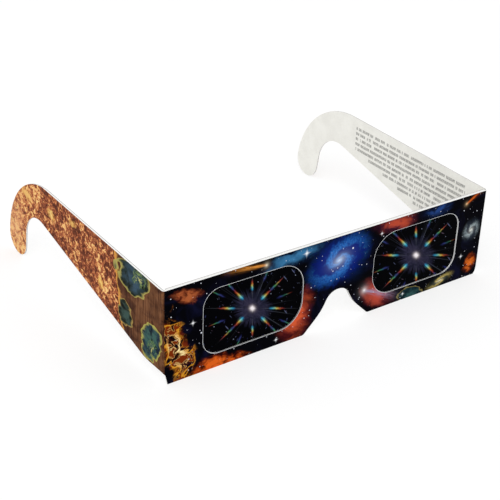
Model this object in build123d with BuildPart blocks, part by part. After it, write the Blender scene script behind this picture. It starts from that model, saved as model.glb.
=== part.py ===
from build123d import *
import os
from math import atan2, cos, pi, radians, sin, tan

# Paper diffraction glasses, standing on the front's lower edge and the tips of the two hooks.
# Millimetres. +X is the right-hand side seen from the front, the front faces -Y,
# the temples run to +Y and +Z is up.
# The origin is the middle of the footprint, on the surface that the glasses stand on.

# Front
front_width = 144.0  # from crease to crease
front_height = 36.0
card_thickness = 0.5
film_thickness = 0.1  # the film and the glue line alike
back_card_inset = 1.5  # from the temple's outer face to the end of the back card
fold_clearance = 0.1  # air between two faces that are folded together
left_relief_width = 0.8  # the small cut at the front's lower left corner
left_relief_height = 3.6
right_relief_width = 0.7
right_relief_height = 1.0

# Windows and films
window_gap = 32.2  # between the two windows
window_side_margin = 14.5  # from a crease to the nearest window
window_rise = 5.5  # lower edge of a window above the front's lower edge
window_top_margin = 5.2
window_outer_radius = 6.6
window_inner_radius = 9.5
film_margin = 3.0  # film hidden under the card all round a window
film_corner_radius = 2.0
cutout_shift = 0.9  # the windows and the notch lie this far to the right of the middle
glue_inset = 0.6  # from the card's edge to the glue

# Nose notch
notch_width = 29.6  # at the lower edge
notch_height = 14.5
notch_foot_radius = 1.5
notch_knee_width = 14.4
notch_knee_height = 7.4
notch_knee_radius = 20.0
notch_crown_width = 7.2  # between the corners of the crown, before rounding
notch_crown_radius = 5.6

# Temples
temple_length = 115.6  # from the front's face to the back of the hook
temple_rise = 3.6  # climb of the top edge from the crease to the hook's upper corner
temple_low_root = 4.8  # height of the lower edge at the crease
temple_low_knee = 4.6  # height of the knee in the lower edge
temple_knee_reach = 11.7  # from the front's face to that knee
temple_knee_radius = 21.0
hook_lean = 9.3  # degrees from upright
hook_arm_width = 13.6  # from the hook's upper corner down to its inner corner, before rounding
hook_back_straight = 0.5  # between the rounding of the hook's back and that of its tip
hook_tip_radius = 6.9
hook_foot_flat = 0.3
hook_bay_radius = 12.5

# Worked out from the sizes above
half_width = front_width / 2
front_y = -temple_length / 2  # place of the front's face
film_depth = card_thickness + film_thickness  # from the front's face to the back of the films
front_stack = film_depth + card_thickness
left_bend_inner = (front_stack + fold_clearance - card_thickness) / 2
right_bend_inner = left_bend_inner + (card_thickness + fold_clearance) / 2
left_bend_outer = left_bend_inner + card_thickness
right_bend_outer = right_bend_inner + card_thickness
left_axis_x = left_bend_outer - half_width
right_axis_x = half_width - right_bend_outer
window_width = half_width - window_gap / 2 - window_side_margin
window_height = front_height - window_rise - window_top_margin
window_from_middle = (window_gap + window_width) / 2
window_centre_z = window_rise + window_height / 2


def front_plane(depth):
    """Upright plane that faces forwards, at a depth behind the front's face."""
    return Plane(origin=(0, front_y + depth, 0), x_dir=(1, 0, 0), z_dir=(0, -1, 0))


def rounded_face(corners, radii):
    """Closed outline through the corners, each rounded by its own radius."""
    with BuildSketch() as outline:
        with BuildLine():
            FilletPolyline(*corners, radius=radii, close=True)
        make_face()
    return outline.sketch


def front_outline(left_end, right_end):
    """Outline of a ply of the front, with its corner cuts and the nose notch."""
    corners_and_radii = [
        ((left_end, left_relief_height), 0),
        ((left_end, front_height), 0),
        ((right_end, front_height), 0),
        ((right_end, right_relief_height), 0),
        ((right_end - right_relief_width, 0), 0),
        ((cutout_shift + notch_width / 2, 0), notch_foot_radius),
        ((cutout_shift + notch_knee_width / 2, notch_knee_height), notch_knee_radius),
        ((cutout_shift + notch_crown_width / 2, notch_height), notch_crown_radius),
        ((cutout_shift - notch_crown_width / 2, notch_height), notch_crown_radius),
        ((cutout_shift - notch_knee_width / 2, notch_knee_height), notch_knee_radius),
        ((cutout_shift - notch_width / 2, 0), notch_foot_radius),
        ((left_end + left_relief_width, 0), 0),
    ]
    return rounded_face(*zip(*corners_and_radii))


def window_outline(side, margin, inner_radius, outer_radius):
    """Outline of a window, or of what lies behind it, with its own radius towards the nose."""
    half_wide = window_width / 2 + margin
    half_high = window_height / 2 + margin
    corners = [
        (
            cutout_shift + side * (window_from_middle + across * half_wide),
            window_centre_z + up * half_high,
        )
        for across, up in ((-1, -1), (1, -1), (1, 1), (-1, 1))
    ]
    return rounded_face(corners, [inner_radius, outer_radius, outer_radius, inner_radius])


def film_outline(side):
    """Outline of a film, which reaches past its window on every side."""
    return window_outline(side, film_margin, film_corner_radius, film_corner_radius)


def temple_outline(root):
    """Side view of a temple: distance behind the front's face, then height."""
    lean = radians(hook_lean)
    tip_reach = hook_tip_radius * (1 + sin(lean)) / cos(lean)  # from the tip's rounding to its corner
    foot_back = temple_length + tip_reach - hook_tip_radius
    foot_front = foot_back - 2 * hook_tip_radius / cos(lean) - hook_foot_flat
    hook_top = front_height + temple_rise
    bay_top = hook_top - hook_arm_width
    back_top = foot_back - hook_top * tan(lean)
    back_turn = pi / 2 - lean + atan2(temple_rise, back_top - root)
    back_reach = hook_top / cos(lean) - tip_reach - hook_back_straight
    corners_and_radii = [
        ((root, temple_low_root), 0),
        ((root, front_height), 0),
        ((back_top, hook_top), back_reach / tan(back_turn / 2)),
        ((foot_back, 0), hook_tip_radius),
        ((foot_front, 0), hook_tip_radius),
        ((foot_front - bay_top * tan(lean), bay_top), hook_bay_radius),
        ((temple_knee_reach, temple_low_knee), temple_knee_radius),
    ]
    return rounded_face(*zip(*corners_and_radii))


def card_ply(depth, left_end, right_end):
    """One ply of the front with both windows cut out, its back face at the given depth."""
    with BuildPart() as ply:
        with BuildSketch(front_plane(depth)):
            add(front_outline(left_end, right_end))
            for side in (-1, 1):
                window = window_outline(side, 0, window_inner_radius, window_outer_radius)
                add(window, mode=Mode.SUBTRACT)
        extrude(amount=card_thickness)
    return ply


def crease(side, axis_x, inner_radius, low):
    """Quarter bend that joins the front card to a temple."""
    outer_radius = inner_radius + card_thickness
    centre = (axis_x, front_y + outer_radius)
    start_angle = 180 if side < 0 else 270
    with BuildPart() as bend:
        with BuildSketch(Plane.XY.offset(low)):
            with BuildLine():
                outside = CenterArc(centre, outer_radius, start_angle, 90)
                inside = CenterArc(centre, inner_radius, start_angle, 90)
                Line(outside @ 0, inside @ 0)
                Line(outside @ 1, inside @ 1)
            make_face()
        extrude(amount=front_height - low)
    return bend


def temple(inner_side_x, root):
    """A temple, whose face with the lower X lies at inner_side_x."""
    with BuildPart() as arm:
        with BuildSketch(Plane(origin=(inner_side_x, front_y, 0), x_dir=(0, 1, 0), z_dir=(1, 0, 0))):
            add(temple_outline(root))
        extrude(amount=card_thickness)
    return arm


# Front card, the printed outer ply
front_card = card_ply(card_thickness, left_axis_x, right_axis_x)
front_card.part.label = "front_card"

# Back card, the plain inner ply
back_card = card_ply(front_stack, back_card_inset - half_width, half_width - back_card_inset)
back_card.part.label = "back_card"

# Diffraction films, held between the two plies
with BuildPart() as left_film:
    with BuildSketch(front_plane(film_depth)):
        add(film_outline(-1))
    extrude(amount=film_thickness)
left_film.part.label = "left_film"

with BuildPart() as right_film:
    with BuildSketch(front_plane(film_depth)):
        add(film_outline(1))
    extrude(amount=film_thickness)
right_film.part.label = "right_film"

# Glue layer between the plies, around the films
with BuildPart() as glue_layer:
    with BuildSketch(front_plane(film_depth)):
        add(front_outline(back_card_inset - half_width, half_width - back_card_inset))
        offset(amount=-glue_inset, kind=Kind.INTERSECTION)
        for side in (-1, 1):
            add(film_outline(side), mode=Mode.SUBTRACT)
    extrude(amount=film_thickness)
glue_layer.part.label = "glue_layer"

# Creases
left_crease = crease(-1, left_axis_x, left_bend_inner, left_relief_height)
left_crease.part.label = "left_crease"

right_crease = crease(1, right_axis_x, right_bend_inner, right_relief_height)
right_crease.part.label = "right_crease"

# Temples
left_temple = temple(-half_width, left_bend_outer)
left_temple.part.label = "left_temple"

right_temple = temple(half_width - card_thickness, right_bend_outer)
right_temple.part.label = "right_temple"

os.makedirs("parts", exist_ok=True)
export_step(front_card.part, "parts/front_card.step")
export_step(back_card.part, "parts/back_card.step")
export_step(left_film.part, "parts/left_film.step")
export_step(right_film.part, "parts/right_film.step")
export_step(glue_layer.part, "parts/glue_layer.step")
export_step(left_crease.part, "parts/left_crease.step")
export_step(right_crease.part, "parts/right_crease.step")
export_step(left_temple.part, "parts/left_temple.step")
export_step(right_temple.part, "parts/right_temple.step")
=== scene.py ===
from functools import partial
from math import cos, e, pi, radians, sin
import bmesh
import bpy
from mathutils import Matrix, Vector


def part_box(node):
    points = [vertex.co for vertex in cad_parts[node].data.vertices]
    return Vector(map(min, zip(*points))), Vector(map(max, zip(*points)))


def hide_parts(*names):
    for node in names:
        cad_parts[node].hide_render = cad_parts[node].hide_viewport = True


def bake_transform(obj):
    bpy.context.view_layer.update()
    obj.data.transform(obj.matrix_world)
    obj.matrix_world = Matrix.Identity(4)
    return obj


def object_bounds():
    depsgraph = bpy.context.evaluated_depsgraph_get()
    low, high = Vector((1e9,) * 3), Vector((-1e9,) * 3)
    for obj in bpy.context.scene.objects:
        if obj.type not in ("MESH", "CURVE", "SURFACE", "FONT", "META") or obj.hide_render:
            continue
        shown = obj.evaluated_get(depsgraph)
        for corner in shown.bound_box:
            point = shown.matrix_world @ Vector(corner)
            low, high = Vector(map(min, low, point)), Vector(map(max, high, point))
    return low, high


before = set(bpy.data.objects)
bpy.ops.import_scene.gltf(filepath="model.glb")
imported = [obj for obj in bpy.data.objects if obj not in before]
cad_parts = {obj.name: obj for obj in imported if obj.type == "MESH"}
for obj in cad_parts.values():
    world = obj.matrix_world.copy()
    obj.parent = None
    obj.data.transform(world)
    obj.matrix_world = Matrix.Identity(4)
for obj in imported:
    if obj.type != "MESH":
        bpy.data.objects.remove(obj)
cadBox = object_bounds()
print("frame loaded with", len(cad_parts), "nodes")

# Paper diffraction glasses. Lengths in the dictionaries are millimetres, the meshes are metres.
mm = 0.001
origin = (0.0, 0.0, 0.0)
wholeSize = (1.0, 1.0, 1.0)
black = (0.0, 0.0, 0.0, 1.0)
white = (1.0, 1.0, 1.0, 1.0)


def inMillimetres(box):
    return tuple(tuple(value / mm for value in corner) for corner in box)


frontLow, frontHigh = inMillimetres(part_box("front_card"))
backLow, _ = inMillimetres(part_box("back_card"))
filmLow, filmHigh = inMillimetres(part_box("left_film"))
farFilmLow, farFilmHigh = inMillimetres(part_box("right_film"))
_, outerHigh = inMillimetres(cadBox)

frontFace = frontLow[1]  # where the printed face of the front lies
frontTop = frontHigh[2]
halfWidth = outerHigh[0]
cardThickness = frontHigh[1] - frontLow[1]

windowSizes = {"filmMargin": 3.0, "noseRadius": 9.5, "templeRadius": 6.6}
windowMiddle = (filmLow[0] + farFilmHigh[0]) / 2
windowReach = (farFilmLow[0] + farFilmHigh[0]) / 2 - windowMiddle
windowHeart = (filmLow[2] + filmHigh[2]) / 2
windowHalfWide = (filmHigh[0] - filmLow[0]) / 2 - windowSizes["filmMargin"]
windowHalfHigh = (filmHigh[2] - filmLow[2]) / 2 - windowSizes["filmMargin"]


def addObject(name, data):
    thing = bpy.data.objects.new(name, data)
    bpy.context.scene.collection.objects.link(thing)
    return thing


# Camera
cameraView = {
    "target": (-38.66, 0.0, 41.36),  # the middle number counts from the front's face
    "distance": 383.05,
    "azimuth": -36.31,
    "elevation": 28.20,
    "roll": 2.13,
    "focalShare": 2.34,  # focal length as a share of the picture's width
    "sensor": 36.0,
}


def placeCamera(view):
    azimuth, elevation, roll = (radians(view[key]) for key in ("azimuth", "elevation", "roll"))
    back = Vector((sin(azimuth) * cos(elevation), -cos(azimuth) * cos(elevation), sin(elevation)))
    level = (-back).cross(Vector((0, 0, 1))).normalized()
    upright = level.cross(-back)
    across = level * cos(roll) + upright * sin(roll)
    up = upright * cos(roll) - level * sin(roll)
    lens = bpy.data.cameras.new("camera")
    lens.sensor_width = view["sensor"]
    lens.lens = view["sensor"] * view["focalShare"]
    camera = addObject("camera", lens)
    place = Vector(view["target"]) + Vector((0, frontFace, 0)) + back * view["distance"]
    turn = Matrix((across, up, back)).transposed().to_4x4()
    camera.matrix_world = Matrix.Translation(place * mm) @ turn
    bpy.context.scene.camera = camera


placeCamera(cameraView)
print("camera placed")


# Small helpers for node trees. Each adds its node to the tree of the sockets that it is given.
def ink(red, green, blue):  # a screen colour, 0 to 255, as Blender's linear colour
    shares = (value / 255 for value in (red, green, blue))
    linear = [((s + 0.055) / 1.055) ** 2.4 if s > 0.04045 else s / 12.92 for s in shares]
    return (*linear, 1.0)


def feed(value, socket):
    if isinstance(value, bpy.types.NodeSocket):
        socket.id_data.links.new(value, socket)
    else:
        socket.default_value = value


def addNode(kind, values, names=None, **settings):
    tree = next(value.id_data for value in values if isinstance(value, bpy.types.NodeSocket))
    node = tree.nodes.new("ShaderNode" + kind)
    for key, value in settings.items():
        setattr(node, key, value)
    for value, name in zip(values, names or range(len(values))):
        feed(value, node.inputs[name])
    return node


def calc(operation, *values, clamp=False):
    return addNode("Math", values, operation=operation, use_clamp=clamp).outputs[0]


def chain(operation, first, *others):
    for other in others:
        first = calc(operation, first, other)
    return first


plus, minus, times = partial(chain, "ADD"), partial(chain, "SUBTRACT"), partial(chain, "MULTIPLY")
ratio, timesPlus = partial(calc, "DIVIDE"), partial(calc, "MULTIPLY_ADD")


def apart(value, place):
    return calc("ABSOLUTE", minus(value, place))


def fallOff(value, rate):  # one at zero, then less and less
    return calc("EXPONENT", times(value, -rate))


def vectorCalc(operation, *values):
    return addNode("VectorMath", values, operation=operation).outputs[0]


def lengthOf(vector):
    return addNode("VectorMath", [vector], operation="LENGTH").outputs["Value"]


def scaled(vector, factor):
    return addNode("VectorMath", (vector, factor), (0, "Scale"), operation="SCALE").outputs[0]


def turned(vector, middle, angle):  # from the middle, turned about Z
    values = (vectorCalc("SUBTRACT", vector, middle), angle)
    return addNode("VectorRotate", values, ("Vector", "Angle"), rotation_type="Z_AXIS").outputs[0]


def split(vector):
    return tuple(addNode("SeparateXYZ", [vector]).outputs)


def point(x, y, z=0.0):
    return addNode("CombineXYZ", (x, y, z)).outputs[0]


def fade(value, start, end, low=0.0, high=1.0):  # from low at start to high at end, smoothly
    values = (value, start, end, low, high)
    return addNode("MapRange", values, interpolation_type="SMOOTHSTEP").outputs[0]


def paint(amount, under, over, mode="MIX"):
    values = (amount, under, over)
    return addNode("Mix", values, (0, 6, 7), data_type="RGBA", blend_type=mode).outputs[2]


def shades(factor, stops):  # each stop: its place and its screen colour
    node = addNode("ValToRGB", [factor])
    elements = node.color_ramp.elements
    for _ in stops[2:]:
        elements.new(0.5)
    for element, (place, colour) in zip(elements, stops):
        element.position = place
        element.color = ink(*colour)
    return node.outputs[0]


def noise(vector, scale, detail=2.0, rough=0.5, warp=0.0, dimensions="2D"):
    values = (vector, scale, detail, rough, warp)
    names = ("Vector", "Scale", "Detail", "Roughness", "Distortion")
    return addNode("TexNoise", values, names, noise_dimensions=dimensions).outputs[0]


def openGroup(name, inputs, **outputs):  # inputs with their defaults, outputs with their kinds
    group = bpy.data.node_groups.new(name, "ShaderNodeTree")
    for label, value in inputs.items():
        kind = "Float" if isinstance(value, float) else {3: "Vector", 4: "Color"}[len(value)]
        socket = group.interface.new_socket(label, in_out="INPUT", socket_type="NodeSocket" + kind)
        socket.default_value = value
    for label, kind in outputs.items():
        group.interface.new_socket(label, in_out="OUTPUT", socket_type="NodeSocket" + kind)
    given, made = (group.nodes.new("NodeGroup" + end) for end in ("Input", "Output"))
    return group, given.outputs, made.inputs


def useGroup(group, **values):
    return addNode("Group", tuple(values.values()), tuple(values), node_tree=group).outputs


# Group: where a point of the card lies on the flat sheet that all of it is cut from
def makeSheetPlace():
    group, given, made = openGroup("sheet place", {"point": origin}, sheet="Vector", depth="Float")
    x, y, z = split(scaled(given["point"], 1 / mm))
    behind = minus(y, frontFace)
    along = timesPlus(calc("SIGN", x), behind, x)
    feed(point(along, z), made["sheet"])
    inward = minus(halfWidth, calc("ABSOLUTE", x))
    feed(calc("MINIMUM", behind, inward), made["depth"])
    return group


# Group: distance to the nearest window's edge, below zero inside a window
def makeWindowGap():
    group, given, made = openGroup("window gap", {"sheet": origin}, gap="Float")
    along, height, _ = split(given["sheet"])
    across = minus(apart(along, windowMiddle), windowReach)
    templeward = calc("GREATER_THAN", across, 0.0)
    radiusStep = windowSizes["templeRadius"] - windowSizes["noseRadius"]
    radius = timesPlus(templeward, radiusStep, windowSizes["noseRadius"])
    aside = plus(minus(calc("ABSOLUTE", across), windowHalfWide), radius)
    above = plus(minus(apart(height, windowHeart), windowHalfHigh), radius)
    corner = point(calc("MAXIMUM", aside, 0.0), calc("MAXIMUM", above, 0.0))
    inside = calc("MINIMUM", calc("MAXIMUM", aside, above), 0.0)
    feed(minus(plus(lengthOf(corner), inside), radius), made["gap"])
    return group


def ownPlace(given):  # place from the motif's middle, in millimetres and in half sizes
    place = turned(given["sheet"], given["middle"], given["turn"])
    return place, vectorCalc("DIVIDE", place, given["halfSize"])


# Group: one ragged cloud of ink with a glowing rim, laid over what is there
inkCloudLook = {
    "seedStep": (31.7, 17.3, 0.0),  # how far apart two clouds' patterns are taken
    "drawnOut": (0.65, 1.0, 1.0),
    "wispFineness": 1.9,
    "shadow": ink(84, 80, 92),  # of the lanes through the cloud
}


def makeInkCloud():
    inputs = dict(
        sheet=origin, under=black, middle=origin, halfSize=wholeSize, turn=0.0, grain=4.0,
        ragged=1.0, soft=0.5, seed=0.0, amount=1.0, thin=black, thick=black, rim=black,
        rimAmount=0.0, rimWidth=0.1, lanes=0.5, detail=5.0,
    )
    group, given, made = openGroup("ink cloud", inputs, colour="Color")
    place, inHalves = ownPlace(given)
    drawnOut = vectorCalc("MULTIPLY", place, inkCloudLook["drawnOut"])
    drift = vectorCalc("ADD", drawnOut, scaled(inkCloudLook["seedStep"], given["seed"]))
    billow = noise(drift, ratio(1.0, given["grain"]), given["detail"], rough=0.6, warp=0.4)
    fineScale = ratio(inkCloudLook["wispFineness"], given["grain"])
    wisps = noise(drift, fineScale, detail=5.0, rough=0.6, warp=0.35)
    puff = times(minus(billow, 0.5), given["ragged"])
    density = plus(minus(1.0, lengthOf(inHalves)), puff)
    tone = timesPlus(wisps, 2.2, timesPlus(density, 0.8, -1.05))
    body = paint(fade(tone, 0.0, 0.9), given["thin"], given["thick"])
    shaded = paint(1.0, body, inkCloudLook["shadow"], mode="MULTIPLY")
    body = paint(times(fade(wisps, 0.47, 0.3), given["lanes"]), body, shaded)
    amount = times(fade(density, 0.0, given["soft"]), given["amount"])
    laid = paint(amount, given["under"], body)
    width = times(given["rimWidth"], timesPlus(wisps, 2.6, -0.5))
    glow = times(fade(density, -0.02, 0.01), fade(density, width, 0.0), given["rimAmount"])
    feed(paint(glow, laid, given["rim"]), made["colour"])
    return group


# Group: a tangle of glowing threads in a dim cloud, laid over what is there
threadCloudLook = {
    "seedStep": (23.1, 41.9, 0.0),
    "fineness": 2.7,  # of the thin threads among the thick ones
    "thickThread": 0.055,
    "thinThread": 0.05,
}


def makeThreadCloud():
    inputs = dict(
        sheet=origin, under=black, middle=origin, halfSize=wholeSize, turn=0.0, grain=4.0,
        seed=0.0, fill=0.7, deep=black, glow=black, heart=black,
    )
    group, given, made = openGroup("thread cloud", inputs, colour="Color")
    place, inHalves = ownPlace(given)
    drift = vectorCalc("ADD", place, scaled(threadCloudLook["seedStep"], given["seed"]))
    scale = ratio(1.0, given["grain"])
    billow = noise(drift, scale, detail=4.0, rough=0.55, warp=0.5)
    fine = noise(drift, times(scale, threadCloudLook["fineness"]), detail=3.0, rough=0.55, warp=0.6)
    density = minus(timesPlus(billow, 1.5, 0.25), lengthOf(inHalves))
    thick = fade(apart(billow, 0.5), threadCloudLook["thickThread"], 0.0)
    thin = fade(apart(fine, 0.5), threadCloudLook["thinThread"], 0.0)
    threads = calc("MULTIPLY_ADD", thin, 0.6, thick, clamp=True)
    inside = fade(density, 0.0, 0.35)
    fill = times(inside, given["fill"], fade(fine, 0.36, 0.62))
    colour = paint(fill, given["under"], given["deep"])
    colour = paint(times(threads, inside), colour, given["glow"])
    hot = times(calc("POWER", threads, 2.0), fade(density, 0.45, 0.85))
    feed(paint(hot, colour, given["heart"]), made["colour"])
    return group


# Group: small stars, one at most in each cell
def makeStarField():
    inputs = dict(sheet=origin, cell=4.0, size=0.3, share=0.5)
    group, given, made = openGroup("star field", inputs, amount="Float")
    values = (given["sheet"], ratio(1.0, given["cell"]))
    cells = addNode("TexVoronoi", values, ("Vector", "Scale"), voronoi_dimensions="2D").outputs
    sizeLot, placeLot, _ = addNode("SeparateColor", [cells["Color"]]).outputs
    away = times(cells["Distance"], given["cell"])
    size = times(given["size"], calc("POWER", sizeLot, 2.0))
    glow = fade(away, plus(size, 0.05), times(size, 0.3))
    feed(times(glow, calc("LESS_THAN", placeLot, given["share"])), made["amount"])
    return group


# Group: a bright star with four rays
sparkleLook = {"rayThinness": 9.0, "rayFade": 1.6, "heartFade": 3.5, "cutOff": 0.12}


def makeSparkle():
    inputs = dict(sheet=origin, middle=origin, size=1.0)
    group, given, made = openGroup("sparkle", inputs, amount="Float")
    away = vectorCalc("SUBTRACT", given["sheet"], given["middle"])
    away = scaled(away, ratio(1.0, given["size"]))
    across, up, _ = split(vectorCalc("ABSOLUTE", away))
    thinness, rayFade = sparkleLook["rayThinness"], sparkleLook["rayFade"]
    levelRay = fallOff(timesPlus(up, thinness, across), rayFade)
    uprightRay = fallOff(timesPlus(across, thinness, up), rayFade)
    total = plus(levelRay, uprightRay, fallOff(lengthOf(away), sparkleLook["heartFade"]))
    feed(calc("SUBTRACT", total, sparkleLook["cutOff"], clamp=True), made["amount"])
    return group


# Group: a streak that starts at a bright head and thins out behind it
def makeComet():
    inputs = dict(sheet=origin, head=origin, turn=0.0, length=12.0, width=1.0)
    group, given, made = openGroup("comet", inputs, tail="Float", core="Float")
    place = turned(given["sheet"], given["head"], given["turn"])
    along, across, _ = split(place)
    share = ratio(along, given["length"])
    side = ratio(across, times(given["width"], timesPlus(share, 0.9, 0.35)))
    wisp = noise(point(times(along, 0.12), across), 2.2, detail=3.0)
    behind = times(fade(share, -0.02, 0.03), fade(share, 1.0, 0.1))
    feed(times(fallOff(times(side, side), 1.0), behind, fade(wisp, 0.2, 0.6)), made["tail"])
    feed(fallOff(ratio(lengthOf(place), given["width"]), 2.2), made["core"])
    return group


# Group: a whirl of spiral arms
def makeWhirl():
    inputs = dict(sheet=origin, middle=origin, halfSize=wholeSize, turn=0.0, arms=2.0, wind=3.0)
    group, given, made = openGroup("whirl", inputs, disc="Float", arm="Float", core="Float")
    _, place = ownPlace(given)
    across, up, _ = split(place)
    reach = lengthOf(place)
    ripple = minus(noise(given["sheet"], 0.45, detail=4.0, rough=0.6), 0.5)
    winding = times(calc("LOGARITHM", calc("MAXIMUM", reach, 0.02), e), given["wind"])
    phase = timesPlus(calc("ARCTAN2", up, across), given["arms"], winding)
    wave = calc("COSINE", timesPlus(ripple, 3.4, phase))
    dust = fade(noise(given["sheet"], 1.3, detail=4.0, rough=0.65), 0.3, 0.62, 0.35, 1.0)
    feed(fade(timesPlus(ripple, 0.6, reach), 1.05, 0.45), made["disc"])
    feed(times(fade(wave, -0.7, 1.0), fade(reach, 1.05, 0.3), dust), made["arm"])
    feed(fallOff(reach, 8.0), made["core"])
    return group


# Group: fibres and mottling of bare card
cardFibreLook = {
    "drawnOut": (0.35, 0.35, 1.6),
    "strandShare": 0.45,  # of the tone, and the mottling has the rest
    "shadow": ink(120, 112, 96),
}


def makeCardFibre():
    inputs = dict(point=origin, paper=black, contrast=0.05)
    group, given, made = openGroup("card fibre", inputs, colour="Color", height="Float")
    spot = scaled(given["point"], 1 / mm)
    stretched = vectorCalc("MULTIPLY", spot, cardFibreLook["drawnOut"])
    strands = noise(stretched, 2.4, detail=4.0, rough=0.65, warp=0.8, dimensions="3D")
    mottle = noise(spot, 0.16, detail=3.0, rough=0.55, dimensions="3D")
    strandShare = cardFibreLook["strandShare"]
    tone = plus(times(strands, strandShare), times(mottle, 1 - strandShare))
    shade = times(fade(tone, 0.62, 0.36), given["contrast"])
    feed(paint(shade, given["paper"], cardFibreLook["shadow"]), made["colour"])
    feed(strands, made["height"])
    return group


# Group: the cut edge of the card, white inside and greyer towards its back face, where painted shade
# stands in for the shade along the edge's far corner
cutEdgeLook = {
    "core": ink(252, 252, 250),
    "torn": ink(214, 210, 204),
    # painted shade: the grey of the line along the back border of a cut edge
    "crushed": ink(116, 112, 114),
    "crushShares": (0.45, 0.7),  # of the card's thickness, where the painted shade starts and is full
}


def makeCutEdge():
    inputs = dict(point=origin, depth=0.0, crush=1.0)
    group, given, made = openGroup("cut edge", inputs, colour="Color", height="Float")
    x, y, z = split(scaled(given["point"], 0.5 / mm))
    torn = noise(point(times(given["depth"], 9.0), plus(x, y, z)), 1.3, detail=4.0, rough=0.7)
    tornAmount = fade(torn, 0.45, 0.75, 0.0, 0.3)
    layers = paint(tornAmount, cutEdgeLook["core"], cutEdgeLook["torn"])
    start, full = (share * cardThickness for share in cutEdgeLook["crushShares"])
    # painted shade: a grey line along the back border of the cut edge
    crushed = times(fade(given["depth"], start, full), given["crush"])
    feed(paint(crushed, layers, cutEdgeLook["crushed"]), made["colour"])
    feed(torn, made["height"])
    return group


# Group: grey bars in lines on the inside of the right temple
barSizes = {
    "topLine": 34.1,
    "pitch": 2.31,
    "lines": 9.0,
    "height": 1.5,
    "blur": 0.25,
    "cell": 0.62,  # shortest length of a bar or of a gap between two
    "gapShare": 0.16,
    "creaseEnd": 10.8,
    "hookEnd": 76.6,
    "stepBack": 9.6,  # how much shorter each line is than the one above it
    "stepStart": 115.5,
    "tilt": 0.023,
    "strength": 0.64,
}


def makeGreyBars():
    group, given, made = openGroup("grey bars", {"point": origin}, amount="Float")
    _, y, z = split(scaled(given["point"], 1 / mm))
    behind = minus(y, frontFace)
    height = timesPlus(minus(barSizes["hookEnd"], behind), barSizes["tilt"], z)
    firstRow = barSizes["topLine"] + barSizes["pitch"] / 2
    rows = ratio(minus(firstRow, height), barSizes["pitch"])
    line = calc("FLOOR", rows)
    offLine = times(apart(calc("FRACT", rows), 0.5), barSizes["pitch"])
    halfBar = barSizes["height"] / 2
    bar = fade(offLine, halfBar, halfBar - barSizes["blur"])
    cell = point(calc("FLOOR", ratio(behind, barSizes["cell"])), line)
    lot = addNode("TexWhiteNoise", [cell], noise_dimensions="2D").outputs["Value"]
    worn = noise(point(times(behind, 2.6), height), 1.0)
    inked = times(bar, calc("GREATER_THAN", lot, barSizes["gapShare"]))
    inked = times(inked, fade(worn, 0.32, 0.62, 0.35, 1.0))
    stepped = timesPlus(line, -barSizes["stepBack"], barSizes["stepStart"])
    shown = times(
        calc("LESS_THAN", behind, calc("MINIMUM", barSizes["hookEnd"], stepped)),
        calc("GREATER_THAN", behind, barSizes["creaseEnd"]),
        calc("GREATER_THAN", rows, 0.0),
        calc("LESS_THAN", rows, barSizes["lines"]),
    )
    feed(times(inked, shown, barSizes["strength"]), made["amount"])
    return group


sheetPlace, windowGap, starField = makeSheetPlace(), makeWindowGap(), makeStarField()
inkCloud, threadCloud, sparkle = makeInkCloud(), makeThreadCloud(), makeSparkle()
comet, whirl, cardFibre = makeComet(), makeWhirl(), makeCardFibre()
cutEdge, greyBars = makeCutEdge(), makeGreyBars()
print("shared node groups made")


# The printed picture, on the flat sheet: 0 is the middle of the front, its creases are at 72 and -72
def cloud(middle, halfSize, turn, grain, ragged, soft, amount, thin, thick, **more):
    return dict(
        middle=(*middle, 0), halfSize=(*halfSize, 1), turn=turn, grain=grain, ragged=ragged,
        soft=soft, amount=amount, thin=ink(*thin), thick=ink(*thick), **more,
    )


def threads(middle, halfSize, turn, grain, seed, fill, deep, glow, heart):
    return dict(
        middle=(*middle, 0), halfSize=(*halfSize, 1), turn=turn, grain=grain, seed=seed, fill=fill,
        deep=ink(*deep), glow=ink(*glow), heart=ink(*heart),
    )


def rimmed(rim, rimAmount, rimWidth, **more):
    return dict(rim=ink(*rim), rimAmount=rimAmount, rimWidth=rimWidth, **more)


# Each cloud: middle, half size, turn, grain, ragged, soft, amount, thin and thick colour
templeClouds = [  # left temple, from the hook to the crease
    cloud((-182, 12), (13, 20), 0.2, 6, 0.9, 0.9, 0.5, (206, 138, 104), (228, 168, 124)),
    cloud((-170, 30), (5, 3), 0.5, 3, 1.8, 0.5, 0.8, (214, 146, 82), (246, 200, 118)),
    cloud((-150, 30), (3.4, 2.4), 0.3, 2.4, 1.6, 0.4, 0.85, (226, 158, 80), (250, 212, 128)),
    cloud((-133, 33.5), (3.2, 1.6), 0.0, 2.0, 1.6, 0.4, 0.8, (214, 146, 78), (242, 196, 112)),
    cloud((-113, 19), (3.0, 2.6), 0.9, 2.4, 1.5, 0.4, 0.9, (222, 150, 72), (252, 214, 124)),
    cloud((-81.8, 20), (19.0, 70), -0.16, 8, 0.25, 0.02, 1.0, (84, 50, 34), (126, 84, 56),
          **rimmed((238, 170, 80), 0.9, 0.13, lanes=0.2)),
]
mineralPools = [  # on the brown ground beside the crease
    cloud((-91, 31.5), (12, 5.8), -0.25, 7, 1.1, 0.05, 1.0, (34, 46, 42), (58, 80, 96),
          **rimmed((184, 172, 92), 0.85, 0.26, lanes=0.9, detail=1.6)),
    cloud((-79.5, 13), (5.8, 8.2), 0.45, 6, 1.1, 0.05, 1.0, (30, 44, 62), (62, 96, 88),
          **rimmed((190, 182, 88), 0.85, 0.28, lanes=0.9, detail=1.6)),
    cloud((-96.5, 14.5), (4.6, 4.8), 0.0, 5, 1.1, 0.06, 1.0, (36, 46, 38), (60, 82, 76),
          **rimmed((182, 156, 86), 0.8, 0.26, lanes=0.9, detail=1.6)),
]
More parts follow.
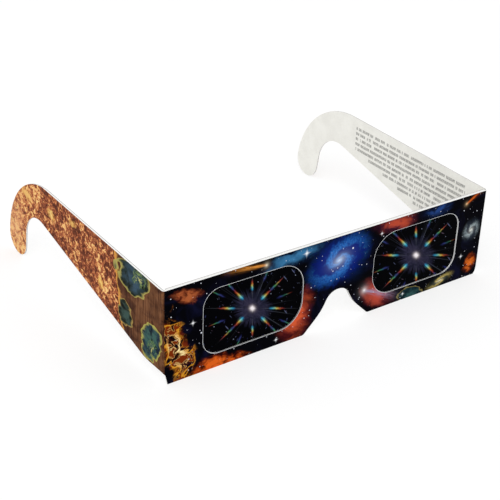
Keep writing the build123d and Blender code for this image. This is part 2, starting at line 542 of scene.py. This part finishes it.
skyClouds = [
    # front, left of the nose
    cloud((-62.5, 31.5), (7.5, 3.2), 0.3, 4, 1.2, 0.6, 0.8, (104, 34, 18), (184, 98, 54)),
    cloud((-50, 0.5), (12.5, 5.4), 0.1, 5, 1.2, 0.5, 1.0, (100, 22, 6), (226, 100, 30), lanes=0.9),
    cloud((-20, 33), (15, 5), -0.1, 8, 1.0, 0.9, 0.85, (10, 30, 68), (62, 126, 174)),
    cloud((-18, 9), (9, 12), 0.5, 9, 0.8, 0.8, 1.0, (112, 30, 34), (216, 90, 52), lanes=0.3),
    # front, over the nose and right of it
    cloud((1, 27), (18, 14), 0.0, 9, 0.5, 0.8, 1.0, (12, 40, 88), (10, 28, 96)),
    cloud((20, 7), (12, 7), 0.75, 9, 0.9, 0.8, 1.0, (104, 30, 40), (188, 76, 58), lanes=0.4),
    cloud((26, 34), (13, 5), 0.1, 8, 1.0, 0.9, 0.9, (78, 26, 52), (190, 76, 52), lanes=0.4),
    cloud((47, 34), (10, 3.6), 0.0, 6, 1.1, 0.9, 0.8, (10, 24, 62), (38, 72, 138)),
    cloud((37, 0.8), (7, 3.2), 0.2, 5, 1.0, 0.2, 0.9, (10, 34, 42), (50, 86, 86),
          **rimmed((190, 174, 106), 0.45, 0.18)),
    cloud((67.3, 6), (3.6, 4.6), 0.3, 4, 1.1, 0.5, 0.9, (120, 38, 8), (228, 112, 36)),
    # right temple, from the crease to the hook
    cloud((96, 24), (22, 12), 0.3, 8, 1.3, 0.8, 0.9, (14, 40, 84), (70, 120, 170)),
    cloud((132, 30), (22, 14), -0.4, 8, 1.4, 0.8, 0.9, (84, 24, 44), (214, 92, 56)),
    cloud((176, 22), (16, 26), 0.1, 6, 1.2, 0.7, 0.9, (120, 56, 20), (236, 170, 90)),
]
# Each tangle: middle, half size, turn, grain, seed, fill, deep, glow and heart colour
poolVeins = [
    threads((-87, 33), (5.5, 3.4), -0.3, 3.6, 21.0, 0.5,
            (24, 58, 52), (120, 140, 84), (206, 198, 128)),
    threads((-79, 10.5), (3.4, 4.2), 0.4, 3.2, 27.0, 0.5,
            (20, 44, 70), (104, 136, 84), (210, 200, 122)),
]
goldTangles = [
    threads((-66.5, 12), (7.0, 17), -0.35, 6.5, 3.0, 0.85,
            (128, 46, 8), (216, 148, 40), (255, 238, 176)),
    threads((172, 12), (14, 18), 0.3, 6.5, 13.0, 0.8,
            (104, 34, 8), (222, 150, 40), (255, 238, 176)),
]
# Each comet: head, turn, length, width, tail and core colour
printedComets = [
    ((-31.5, 33.6, 0), -3.0, 20.0, 1.1, (232, 150, 62), (255, 240, 210)),
    ((13.4, 10.0, 0), 0.42, 22.0, 1.7, (158, 146, 176), (255, 250, 250)),
    ((61.5, 32.6, 0), -0.5, 11.0, 0.9, (232, 104, 30), (255, 214, 160)),
    ((118.0, 20.0, 0), -0.3, 20.0, 1.3, (120, 170, 220), (255, 255, 255)),
]
# Each whirl: middle, half size, turn, wind, disc, arm and core colour
printedWhirls = [
    ((0.4, 26.2, 0), (15.5, 10.2, 1), -0.3, 4.2, (2, 26, 112), (40, 116, 198), (206, 226, 255)),
    ((65.8, 20.5, 0), (4.8, 5.4, 1), 0.4, 3.4, (34, 42, 54), (150, 164, 168), (240, 240, 230)),
    ((52.0, 2.4, 0), (8.0, 2.7, 1), -0.22, 3.0, (22, 32, 26), (196, 174, 98), (255, 246, 208)),
]
printedSparkles = [  # middle and size
    ((-60.6, 20.5, 0), 1.4), ((-14.5, 33.2, 0), 2.0), ((19.6, 31.5, 0), 1.2), ((33.0, 2.4, 0), 1.2),
    ((62.0, 10.0, 0), 1.4), ((-26.0, 2.2, 0), 1.3), ((100.0, 30.0, 0), 1.6),
]
skyInks = {
    "night": ink(1, 1, 5),
    "dust": ink(11, 13, 38),
    "star": ink(240, 244, 255),
    "sparkle": ink(250, 252, 255),
}
skyStars = [(2.3, 0.24, 0.35), (7.0, 0.55, 0.4)]  # cell, size and share of the cells
starFree = {"middle": 0.4, "edge": (1.6, 2.2)}  # no star where the card bends
groundLook = {
    "broadShare": 0.42,
    "fleckShare": 0.3,
    "darkMiddle": -139.0,  # of the stretch of the temple that is darker
    "darkReach": (15.0, 6.0),
    "darkening": -0.03,
    "lightRange": (-145.0, -172.0),  # towards the hook it gets lighter
    "lightening": 0.09,
    "brownRange": (-98.0, -95.0),  # where the banded brown ground starts
    "bandStretch": (1.5, 0.1, 1.0),
    "bandShade": ink(190, 182, 180),
    "seam": (0.2, 0.6),  # inward from the crease, where the ground ends and the sky starts
    "stops": [
        (0.36, (88, 44, 28)), (0.44, (118, 61, 41)), (0.49, (139, 75, 50)), (0.53, (158, 87, 57)),
        (0.57, (190, 107, 66)), (0.63, (238, 168, 104)), (0.72, (255, 216, 142)),
    ],
}


# Group: mottled amber ground of the left temple
def makeAmberGround():
    group, given, made = openGroup("amber ground", {"sheet": origin}, colour="Color")
    sheet = given["sheet"]
    patches = noise(sheet, 0.5, detail=5.0, rough=0.66, warp=0.6)
    broad = noise(sheet, 0.085, detail=3.0, rough=0.55, warp=0.5)
    flecks = noise(sheet, 1.5, rough=0.6)
    along, _, _ = split(sheet)
    fromDark = apart(along, groundLook["darkMiddle"])
    darker = fade(fromDark, *groundLook["darkReach"], 0.0, groundLook["darkening"])
    lighter = fade(along, *groundLook["lightRange"], 0.0, groundLook["lightening"])
    level = timesPlus(minus(broad, 0.5), groundLook["broadShare"], patches)
    level = timesPlus(minus(flecks, 0.5), groundLook["fleckShare"], level)
    feed(shades(plus(level, darker, lighter), groundLook["stops"]), made["colour"])
    return group


def layClouds(sheet, colour, clouds, firstSeed):
    for seed, item in enumerate(clouds, firstSeed):
        colour = useGroup(inkCloud, sheet=sheet, under=colour, seed=float(seed), **item)["colour"]
    return colour


def layThreads(sheet, colour, tangles):
    for item in tangles:
        colour = useGroup(threadCloud, sheet=sheet, under=colour, **item)["colour"]
    return colour


def layGround(sheet, along):
    ground = useGroup(makeAmberGround(), sheet=sheet)["colour"]
    ground = layClouds(sheet, ground, templeClouds, firstSeed=1)
    stretched = vectorCalc("MULTIPLY", sheet, groundLook["bandStretch"])
    bands = noise(stretched, 1.0, detail=3.0, rough=0.6)
    banded = paint(fade(bands, 0.4, 0.62), groundLook["bandShade"], white)
    ground = paint(fade(along, *groundLook["brownRange"]), ground, banded, mode="MULTIPLY")
    ground = layClouds(sheet, ground, mineralPools, firstSeed=12)
    return layThreads(sheet, ground, poolVeins)


def laySky(sheet, along):
    dust = noise(sheet, 0.09, detail=5.0, rough=0.6, warp=0.6)
    sky = paint(fade(dust, 0.48, 0.8), skyInks["night"], skyInks["dust"])
    sky = layClouds(sheet, sky, skyClouds, firstSeed=20)
    sky = layThreads(sheet, sky, goldTangles)
    for middle, halfSize, turn, wind, *colours in printedWhirls:
        masks = useGroup(whirl, sheet=sheet, middle=middle, halfSize=halfSize, turn=turn, wind=wind)
        for mask, colour in zip(masks, colours):
            sky = paint(mask, sky, ink(*colour))
    for head, turn, length, width, *colours in printedComets:
        masks = useGroup(comet, sheet=sheet, head=head, turn=turn, length=length, width=width)
        for mask, colour in zip(masks, colours):
            sky = paint(mask, sky, ink(*colour))
    fromCrease = apart(calc("ABSOLUTE", along), halfWidth + starFree["middle"])
    clear = fade(fromCrease, *starFree["edge"])
    for cell, size, share in skyStars:
        shine = useGroup(starField, sheet=sheet, cell=cell, size=size, share=share)["amount"]
        sky = paint(times(shine, clear), sky, skyInks["star"])
    for middle, size in printedSparkles:
        shine = useGroup(sparkle, sheet=sheet, middle=middle, size=size)["amount"]
        sky = paint(shine, sky, skyInks["sparkle"])
    return sky


# Group: the whole printed picture
def makePrint():
    group, given, made = openGroup("printed picture", {"sheet": origin}, colour="Color")
    along, _, _ = split(given["sheet"])
    ground, sky = layGround(given["sheet"], along), laySky(given["sheet"], along)
    onFront = fade(along, *(inward - halfWidth for inward in groundLook["seam"]))
    feed(paint(onFront, ground, sky), made["colour"])
    return group


printedPicture = makePrint()
print("printed picture made")


# Materials
def openMaterial(name, specular=0.5):
    material = bpy.data.materials.new(name)
    material.use_nodes = True
    shader = material.node_tree.nodes["Principled BSDF"]
    shader.inputs["Specular IOR Level"].default_value = specular
    place = material.node_tree.nodes.new("ShaderNodeTexCoord").outputs["Object"]
    return material, shader, place


def coat(shader, colour, roughness, height, bumpStrength, bumpDistance):
    feed(colour, shader.inputs["Base Color"])
    feed(roughness, shader.inputs["Roughness"])
    values = (bumpStrength, bumpDistance * mm, height)
    bump = addNode("Bump", values, ("Strength", "Distance", "Height"))
    feed(bump.outputs[0], shader.inputs["Normal"])


def dress(obj, *materials):
    obj.data.materials.clear()
    for material in materials:
        obj.data.materials.append(material)


# Card
cardFinish = {
    "paper": ink(246, 245, 239),
    "outline": 0.11,  # width of the bare line round each window
    "outlineFray": 0.1,
    "outlineSoftness": 0.03,
    "outlineColour": ink(236, 238, 240),
    "windowWallShade": 0.75,  # how much painted shade covers the windows' cut edges, in the recess round each film
    # the grey of the painted shade on the windows' cut edges
    "windowWallShadeColour": ink(40, 42, 50),
    "barColour": ink(62, 62, 62),
    "faceSkin": 0.03,  # how near to a face a point counts as on it
    "windowSkin": 0.06,  # the same for the cut edge of a window
    "printRoughness": (0.34, 0.5),
    "bareRoughness": (0.76, 0.88),
    "specular": 0.01,
}
bareRim = {  # the die leaves a narrow white line along the upper edges
    "frontWidth": 0.22,
    "templeWidth": 0.42,
    "widening": 3.0,  # over this length past the crease
    "fray": 0.12,
    "climbLength": 77.7,  # from the crease to the highest point of a temple
    "softness": 0.05,
    "colour": ink(250, 250, 248),
}


def rimMask(sheet, frayed):
    along, height, _ = split(sheet)
    beyond = calc("MAXIMUM", minus(calc("ABSOLUTE", along), halfWidth), 0.0)
    climb = (outerHigh[2] - frontTop) / bareRim["climbLength"]
    toTop = minus(timesPlus(beyond, climb, frontTop), height)
    widths = bareRim["frontWidth"], bareRim["templeWidth"]
    width = fade(beyond, 0.0, bareRim["widening"], *widths)
    width = timesPlus(minus(frayed, 0.5), bareRim["fray"], width)
    return fade(toTop, plus(width, bareRim["softness"]), minus(width, bareRim["softness"]))


def printedInk(sheet):
    colour = useGroup(printedPicture, sheet=sheet)["colour"]
    gap = useGroup(windowGap, sheet=sheet)["gap"]
    frayed = noise(sheet, 1.6)
    fray, softness = cardFinish["outlineFray"], cardFinish["outlineSoftness"]
    width = timesPlus(frayed, fray, cardFinish["outline"] - fray / 2)
    outline = fade(gap, plus(width, softness), minus(width, softness))
    colour = paint(outline, colour, cardFinish["outlineColour"])
    return paint(rimMask(sheet, frayed), colour, bareRim["colour"])


def makeCard(name, depthStart=0.0, crush=1.0, printed=True, bars=False):
    material, shader, place = openMaterial(name, cardFinish["specular"])
    sheet, whole = useGroup(sheetPlace, point=place)
    depth = minus(whole, depthStart)
    outer = calc("LESS_THAN", depth, cardFinish["faceSkin"])
    inner = calc("GREATER_THAN", depth, cardThickness - cardFinish["faceSkin"])
    isWall = minus(1.0, calc("MAXIMUM", outer, inner))
    colour, fibres = useGroup(cardFibre, point=place, paper=cardFinish["paper"], contrast=0.1)
    if bars:
        marks = useGroup(greyBars, point=place)["amount"]
        colour = paint(times(marks, inner), colour, cardFinish["barColour"])
    wall, torn = useGroup(cutEdge, point=place, depth=depth, crush=crush)
    if printed:  # painted shade over the cut edges of the windows
        gap = useGroup(windowGap, sheet=sheet)["gap"]
        onWindow = calc("LESS_THAN", gap, cardFinish["windowSkin"])
        windowShadeAmount = times(onWindow, cardFinish["windowWallShade"])
        wall = paint(windowShadeAmount, wall, cardFinish["windowWallShadeColour"])
    colour = paint(isWall, colour, wall)
    height = plus(fibres, times(torn, isWall))
    if printed:
        colour = paint(outer, colour, printedInk(sheet))
        varnish = fade(noise(sheet, 0.5, detail=3.0), 0.3, 0.7, *cardFinish["printRoughness"])
        bareRoughness = sum(cardFinish["bareRoughness"]) / 2
        roughness = timesPlus(outer, minus(varnish, bareRoughness), bareRoughness)
        height = times(height, timesPlus(outer, -0.7, 1.0))  # the print is smoother
    else:
        roughness = fade(fibres, 0.3, 0.7, *cardFinish["bareRoughness"])
    coat(shader, colour, roughness, height, bumpStrength=0.35, bumpDistance=0.03)
    return material


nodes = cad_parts
# the front card's cut edges get less painted shade than the other pieces
dress(nodes["front_card"], makeCard("front card print", crush=0.25))
dress(nodes["left_temple"], makeCard("left temple print"))
dress(nodes["right_temple"], makeCard("right temple print", bars=True))
dress(nodes["back_card"], makeCard("back card", depthStart=backLow[1] - frontFace, printed=False))
print("card finished")

# Dried glue between the plies
glueFinish = {"thin": ink(226, 222, 204), "thick": ink(200, 192, 166), "roughness": (0.45, 0.65)}


def makeGlue():
    material, shader, place = openMaterial("dried glue")
    spread = noise(place, 400.0, detail=4.0, rough=0.6, warp=0.5, dimensions="3D")
    colour = paint(fade(spread, 0.4, 0.7), glueFinish["thin"], glueFinish["thick"])
    roughness = fade(spread, 0.3, 0.7, *glueFinish["roughness"])
    coat(shader, colour, roughness, spread, bumpStrength=0.4, bumpDistance=0.02)
    return material


dress(nodes["glue_layer"], makeGlue())

# Films, each with painted light: the star that it makes of a lamp is painted into its colour
starBurst = {  # lengths are millimetres on the left film
    # the eight main streaks start, peak and end at these distances from the heart
    "level": dict(inner=6.6, peak=8.2, outer=15.0, width=0.48),
    "upright": dict(inner=6.9, peak=8.2, outer=12.6, width=0.48),
    "slanted": dict(inner=4.7, peak=6.2, outer=11.6, width=0.66),
    # fainter ones in line with them, and long threads
    "second": dict(inner=9.8, peak=12.6, outer=19.5, width=0.34),
    "thread": dict(inner=2.0, peak=9.0, outer=21.5, width=0.14),
    # still fainter ones between them: start, its scatter, and from there to the peak and the end
    "far": dict(start=10.6, scatter=1.6, toPeak=3.0, toEnd=8.0, width=0.34),
    "secondStrength": 0.9,
    "threadStrength": 0.16,
    "rayStrength": 0.1,
    "haloStrength": 0.85,
    "film": ink(1, 1, 3),
    "haze": 8.4,
    "hazeColours": (ink(22, 24, 40), ink(44, 42, 64)),
    "rayColour": ink(140, 146, 164),
    "threadColour": ink(170, 176, 190),
    "haloColour": ink(190, 170, 186),
    "heart": 1.0,
    "heartColour": ink(255, 246, 246),
    "points": 1.7,
    "pointColour": ink(250, 246, 250),
    "roughness": (0.12, 0.2),
    "specular": 0.008,
}
# Painted light of small far lamps, and the short stray streaks that they draw.
# Each row: turn, how drawn out, cell, size, share of the cells, amount and colour
farLamps = [
    (0.0, 1.0, 2.6, 0.26, 0.45, 0.62, (160, 170, 196)),
    (0.85, 5.0, 2.3, 0.26, 0.36, 0.7, (100, 108, 144)),
    (-0.9, 4.0, 2.5, 0.26, 0.34, 0.7, (88, 96, 130)),
    (1.9, 2.6, 1.9, 0.36, 0.3, 0.5, (52, 58, 104)),
    (0.3, 3.0, 2.9, 0.3, 0.3, 0.5, (110, 92, 112)),
]
mainSpectrum = [
    (0.03, (30, 92, 150)), (0.18, (52, 168, 208)), (0.32, (140, 212, 190)), (0.44, (224, 210, 96)),
    (0.58, (236, 124, 50)), (0.74, (198, 48, 38)), (0.95, (92, 32, 42)),
]
secondSpectrum = [
    (0.08, (58, 66, 150)), (0.24, (70, 96, 150)), (0.38, (84, 176, 110)),
    (0.54, (206, 176, 84)), (0.66, (206, 82, 56)), (0.9, (120, 56, 76)),
]
farSpectrum = [
    (0.0, (44, 48, 120)), (0.3, (74, 84, 170)), (0.46, (60, 130, 130)), (0.62, (80, 150, 90)),
    (0.85, (190, 70, 50)),
]
starPlaces = {  # where each star lies, and how its level and upright streaks lean on the film
    "left_film": {"heart": (-36.4, 18.1), "level": (1.0, 0.042), "upright": (0.339, 1.056)},
    "right_film": {"heart": (38.4, 17.1), "level": (0.831, 0.112), "upright": (0.282, 0.987)},
}


# Group: distance out along the nearest of eight streaks, and off to its side
def makeStreakPlace():
    inputs = dict(star=origin, turn=0.0)
    group, given, made = openGroup("streak place", inputs, out="Float", off="Float", streak="Float")
    across, up, _ = split(given["star"])
    eighth = pi / 4
    turns = ratio(plus(calc("ARCTAN2", up, across), given["turn"]), eighth)
    streak = calc("ROUND", turns)
    aside = times(minus(turns, streak), eighth)
    reach = lengthOf(given["star"])
    feed(times(reach, calc("COSINE", aside)), made["out"])
    feed(times(reach, calc("SINE", aside)), made["off"])
    feed(calc("FLOORED_MODULO", streak, 8.0), made["streak"])
    return group


# Group: a streak that swells to its peak and thins out again, made of fine threads
def makeLightStreak():
    inputs = dict(out=0.0, off=0.0, inner=5.0, peak=8.0, outer=12.0, width=0.5)
    group, given, made = openGroup("light streak", inputs, amount="Float", share="Float")
    out, off, width = given["out"], given["off"], given["width"]
    rise = fade(out, given["inner"], given["peak"])
    fall = fade(out, given["outer"], given["peak"])
    share = ratio(minus(out, given["inner"]), minus(given["outer"], given["inner"]))
    taper = fade(share, 0.1, 1.0, 1.0, 0.42)
    wide = times(taper, fade(rise, 0.0, 0.5, 0.6, 1.0), width)
    torn = noise(point(times(out, 0.9), times(off, 0.5)), 1.0)
    sway = times(minus(torn, 0.5), width)
    aside = ratio(timesPlus(sway, 0.9, off), wide)
    profile = fallOff(times(aside, aside), 1.2)
    fibres = noise(point(times(out, 0.2), times(off, 2.6)), 1.0)
    strength = times(calc("POWER", rise, 0.6), calc("POWER", fall, 0.6))
    feed(times(profile, fade(fibres, 0.3, 0.6, 0.3, 1.0), strength), made["amount"])
    feed(share, made["share"])
    return group


streakPlace, lightStreak = makeStreakPlace(), makeLightStreak()


def layHaze(star, reach):  # with a ragged border, and long faint rays
    smoke = noise(star, 0.3, detail=4.0, rough=0.65, warp=0.6)
    unit = scaled(star, ratio(1.0, calc("MAXIMUM", reach, 0.1)))
    rays = noise(unit, 9.0, rough=0.8)
    border = timesPlus(minus(smoke, 0.5), 6.0, reach)
    border = timesPlus(minus(rays, 0.5), -9.0, border)
    haze = fade(border, starBurst["haze"], starBurst["haze"] * 0.6)
    tone = paint(fade(smoke, 0.36, 0.64), *starBurst["hazeColours"])
    colour = paint(haze, starBurst["film"], tone)
    span = times(fade(reach, 3.0, 8.0), fade(reach, 20.0, 9.0))
    faint = times(fade(rays, 0.62, 0.74, 0.0, starBurst["rayStrength"]), span)
    return paint(faint, colour, starBurst["rayColour"])


def layFarStreaks(star, colour):  # outer, fainter streaks between the main ones
    out, off, streak = useGroup(streakPlace, star=star, turn=pi / 8)
    values = [plus(streak, 3.0)]
    luck = addNode("TexWhiteNoise", values, ["W"], noise_dimensions="1D").outputs["Value"]
    far = starBurst["far"]
    near = timesPlus(luck, far["scatter"], far["start"])
    peak, outer = plus(near, far["toPeak"]), plus(near, far["toEnd"])
    amount, share = useGroup(
        lightStreak, out=out, off=off, inner=near, peak=peak, outer=outer, width=far["width"]
    )
    return paint(times(amount, timesPlus(luck, 0.3, 0.55)), colour, shades(share, farSpectrum))


def layMainStreaks(star, colour):
    out, off, streak = useGroup(streakPlace, star=star)
    slanted = calc("MODULO", streak, 2.0)
    upright = calc("COMPARE", calc("MODULO", streak, 4.0), 2.0, 0.1)
    sizes = {}
    for key, size in starBurst["level"].items():
        size = timesPlus(upright, starBurst["upright"][key] - size, size)
        sizes[key] = timesPlus(slanted, starBurst["slanted"][key] - starBurst["level"][key], size)
    first = useGroup(lightStreak, out=out, off=off, **sizes)
    second = useGroup(lightStreak, out=out, off=off, **starBurst["second"])
    thread = useGroup(lightStreak, out=out, off=off, **starBurst["thread"])
    threadAmount = times(thread["amount"], starBurst["threadStrength"])
    colour = paint(threadAmount, colour, starBurst["threadColour"])
    secondAmount = times(second["amount"], slanted, starBurst["secondStrength"])
    colour = paint(secondAmount, colour, shades(second["share"], secondSpectrum))
    return paint(first["amount"], colour, shades(first["share"], mainSpectrum))


def layFarLamps(star, reach, colour):
    outside = fade(reach, 7.0, 11.0)
    for turn, long, cell, size, share, amount, tint in farLamps:
        drawnOut = vectorCalc("MULTIPLY", turned(star, origin, turn), (1 / long, 1.0, 1.0))
        specks = useGroup(starField, sheet=drawnOut, cell=cell, size=size, share=share)["amount"]
        colour = paint(times(specks, outside, amount), colour, ink(*tint))
    return colour


# painted light: the haze, streaks, far lamps, halo, heart and points of the star are painted into
# the film's colour over its near-black
def makeFilm(name, drawn):
    material, shader, place = openMaterial(name, starBurst["specular"])
    x, _, z = split(scaled(place, 1 / mm))
    across, up = minus(x, drawn["heart"][0]), minus(z, drawn["heart"][1])
    along, climb = (
        timesPlus(up, drawn[key][1], times(across, drawn[key][0])) for key in ("level", "upright")
    )
    star = point(along, climb)
    reach = lengthOf(star)
    colour = layHaze(star, reach)
    colour = layFarStreaks(star, colour)
    colour = layMainStreaks(star, colour)
    colour = layFarLamps(star, reach, colour)
    halo = times(fallOff(reach, 1.5), starBurst["haloStrength"])
    colour = paint(halo, colour, starBurst["haloColour"])
    heart = calc("POWER", ratio(reach, starBurst["heart"]), 2.2)
    colour = paint(fallOff(heart, 1.0), colour, starBurst["heartColour"])
    points = useGroup(sparkle, sheet=star, size=starBurst["points"])["amount"]
    colour = paint(points, colour, starBurst["pointColour"])
    ripple = noise(place, 120.0, dimensions="3D")
    roughness = fade(ripple, 0.3, 0.7, *starBurst["roughness"])
    coat(shader, colour, roughness, ripple, bumpStrength=0.2, bumpDistance=0.1)
    return material


for node, drawn in starPlaces.items():
    dress(nodes[node], makeFilm(node.replace("_", " "), drawn))
print("films finished")

# Creases
creaseShape = {"turns": 10, "rows": 24, "bead": 0.06}  # scoring raises a bead on the inside
creaseFinish = {
    "crackStretch": (6.0, 6.0, 0.8),
    "crackColour": ink(214, 206, 196),
    "printRoughness": (0.4, 0.65),
    "bareSpecular": 0.02,
}


def makeCreasePrint():
    material, shader, place = openMaterial("crease print", cardFinish["specular"])
    colour = printedInk(useGroup(sheetPlace, point=place)["sheet"])
    stretched = vectorCalc("MULTIPLY", scaled(place, 1 / mm), creaseFinish["crackStretch"])
    cracks = noise(stretched, 1.0, detail=4.0, rough=0.7, dimensions="3D")
    colour = paint(fade(cracks, 0.6, 0.72, 0.0, 0.35), colour, creaseFinish["crackColour"])
    roughness = fade(cracks, 0.4, 0.7, *creaseFinish["printRoughness"])
    coat(shader, colour, roughness, cracks, bumpStrength=0.4, bumpDistance=0.03)
    return material


def makeCreaseBare(name, axis=None, outside=0.0):  # the cut edge, or the inside without an axis
    material, shader, place = openMaterial(name, creaseFinish["bareSpecular"])
    if axis:
        away = vectorCalc("MULTIPLY", vectorCalc("SUBTRACT", place, axis), (1.0, 1.0, 0.0))
        depth = ratio(minus(outside, lengthOf(away)), mm)
        # the cut edge, greyer towards the inside of the bend with painted shade
        colour, height = useGroup(cutEdge, point=place, depth=depth)
    else:
        colour, height = useGroup(cardFibre, point=place, paper=cardFinish["paper"], contrast=0.12)
    roughness = fade(height, 0.3, 0.7, *cardFinish["bareRoughness"])
    coat(shader, colour, roughness, height, bumpStrength=0.35, bumpDistance=0.03)
    return material


creasePrint, creaseInside = makeCreasePrint(), makeCreaseBare("crease inside")


def makeCrease(name, node, temple, side):
    low, high = (Vector(corner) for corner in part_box(node))
    axis = Vector((high.x if side < 0 else low.x, high.y, 0.0))
    thickness = cardThickness * mm
    outside = high.y - low.y
    mesh = bmesh.new()
    bmesh.ops.create_grid(mesh, x_segments=1, y_segments=creaseShape["rows"], size=0.5)
    standUp = Matrix.Rotation(pi / 2, 4, "Y") @ Matrix.Rotation(pi / 2, 4, "Z")
    size = Matrix.Diagonal((1.0, thickness, high.z - low.z, 1.0))
    middle = Vector((axis.x, low.y + thickness / 2, (low.z + high.z) / 2))
    place = Matrix.Translation(middle) @ size @ standUp
    bmesh.ops.transform(mesh, matrix=place, verts=mesh.verts)
    bmesh.ops.spin(
        mesh, geom=mesh.verts[:] + mesh.edges[:] + mesh.faces[:], cent=axis, axis=(0, 0, 1),
        angle=side * pi / 2, steps=creaseShape["turns"], space=Matrix.Identity(4),
    )
    for vert in mesh.verts:
        spoke = Vector((vert.co.x - axis.x, vert.co.y - axis.y, 0.0))
        if spoke.length < outside - thickness / 2:  # on the inside, where the bead is
            turn = abs(spoke.x) / spoke.length
            lift = creaseShape["bead"] * mm * (4 * turn * turn * (1 - turn * turn)) ** 2
            vert.co -= spoke.normalized() * lift
    bmesh.ops.remove_doubles(mesh, verts=mesh.verts, dist=mm * 0.001)
    bmesh.ops.recalc_face_normals(mesh, faces=mesh.faces)
    for face in mesh.faces:
        centre = face.calc_center_median()
        reach = Vector((centre.x - axis.x, centre.y - axis.y)).length
        flat = abs(face.normal.z) > 0.9
        face.material_index = 2 if flat else 0 if reach > outside - thickness / 4 else 1
        face.smooth = not flat
    root = [v.co.z for v in nodes[temple].data.vertices if abs(v.co.y - high.y) < 0.1 * mm]
    for vert in mesh.verts:  # the die cuts a straight line from the front's corner to the temple's
        turn = min(abs(vert.co.x - axis.x) / outside, 1.0)
        fromTop = (high.z - vert.co.z) / (high.z - low.z)
        vert.co.z += (min(root) - low.z) * turn * fromTop
    crease = addObject(name, bpy.data.meshes.new(name))
    creaseEnds = makeCreaseBare(name.replace("_", " ") + " ends", tuple(axis), outside)
    dress(crease, creasePrint, creaseInside, creaseEnds)  # before the faces, which keep their slots
    mesh.to_mesh(crease.data)
    mesh.free()
    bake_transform(crease)
    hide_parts(node)


makeCrease("left_crease_bend", "left_crease", "left_temple", -1)
makeCrease("right_crease_bend", "right_crease", "right_temple", 1)
print("creases made")

# Floor, light and background
stageSetup = {
    "floorSize": 6000.0,
    "floorDrop": 0.05,
    "floorColour": (0.86, 0.86, 0.86, 1.0),
    "floorLift": 0.6,  # share of the floor's white that no shadow takes away in the picture
    "floorGain": 0.07,
    "floorRoughness": 0.9,
    "skyStrength": 0.9,
    "keyPower": 6.0,
    "keySize": 900.0,
    "keyPlace": (-700.0, -900.0, 1300.0),
}


def seenDirectly(tree):  # one where a ray comes from the camera, a mirror or glass
    path = tree.nodes.new("ShaderNodeLightPath").outputs
    seen = plus(path["Is Camera Ray"], path["Is Glossy Ray"])
    return calc("ADD", seen, path["Is Transmission Ray"], clamp=True)


def makeFloor():
    mesh = bmesh.new()
    bmesh.ops.create_grid(mesh, x_segments=1, y_segments=1, size=stageSetup["floorSize"] * mm / 2)
    bmesh.ops.translate(mesh, verts=mesh.verts, vec=(0, 0, -stageSetup["floorDrop"] * mm))
    floor = addObject("floor", bpy.data.meshes.new("floor"))
    mesh.to_mesh(floor.data)
    mesh.free()
    material, shader, _ = openMaterial("white floor", specular=0.0)
    seen = seenDirectly(material.node_tree)
    colour, lift = stageSetup["floorColour"], stageSetup["floorLift"]
    shown = tuple(value * (1 - lift) for value in colour[:3]) + (1.0,)
    feed(paint(seen, colour, shown), shader.inputs["Base Color"])
    shader.inputs["Roughness"].default_value = stageSetup["floorRoughness"]
    shader.inputs["Emission Color"].default_value = white
    feed(times(seen, lift + stageSetup["floorGain"]), shader.inputs["Emission Strength"])
    dress(floor, material)


def makeLight():
    world = bpy.data.worlds.new("studio")
    bpy.context.scene.world = world
    world.use_nodes = True
    sky = world.node_tree.nodes["Background"].inputs
    sky["Color"].default_value = white
    level = stageSetup["skyStrength"]
    feed(timesPlus(seenDirectly(world.node_tree), 1.0 - level, level), sky["Strength"])
    lamp = bpy.data.lights.new("key", "AREA")
    lamp.shape = "DISK"
    lamp.size = stageSetup["keySize"] * mm
    lamp.energy = stageSetup["keyPower"]
    key = addObject("key", lamp)
    key.location = Vector(stageSetup["keyPlace"]) * mm
    key.rotation_euler = (-key.location).to_track_quat("-Z", "Y").to_euler()


makeFloor()
makeLight()
bpy.context.scene.view_settings.view_transform = "Standard"
print("floor and light made")
